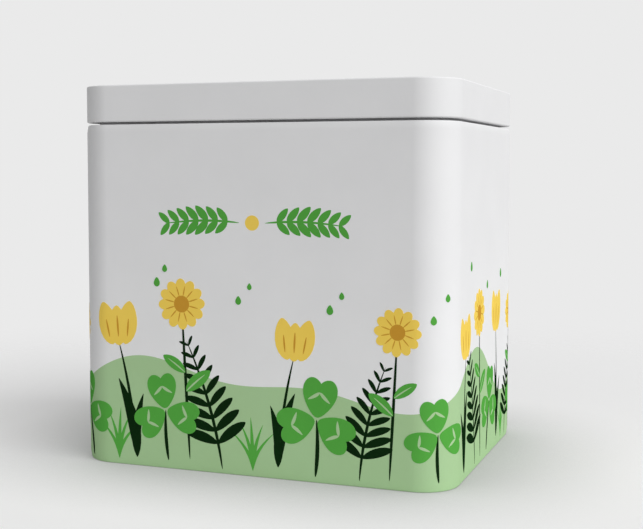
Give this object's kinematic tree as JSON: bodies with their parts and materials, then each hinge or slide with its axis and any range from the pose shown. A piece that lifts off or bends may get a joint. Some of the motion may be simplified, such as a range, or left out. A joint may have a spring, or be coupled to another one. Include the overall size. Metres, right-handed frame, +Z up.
{
  "type": "storage tin with lid",
  "caption": "Rectangular printed tin with rounded corners and a flush lift-off lid, for storing dishwasher tablets.",
  "frame": {"origin": "middle of the footprint, on the surface that the tin stands on", "axes": "+X along the broad front, to the right as seen from the front; +Y from the front to the back; +Z up"},
  "size_m": [0.134, 0.102, 0.13],
  "materials": {
    "white_lacquered_tinplate": "satin",
    "bare_tinplate": "satin"
  },
  "bodies": {
    "tin": {"body_wall": "white_lacquered_tinplate", "base_panel": "bare_tinplate"},
    "lid": {"lid": "white_lacquered_tinplate"}
  },
  "joints": [
    {"name": "lid_lift", "type": "slide", "parent": "tin", "child": "lid", "axis": [0, 0, 1], "range_m": [0, 0.15]}
  ]
}
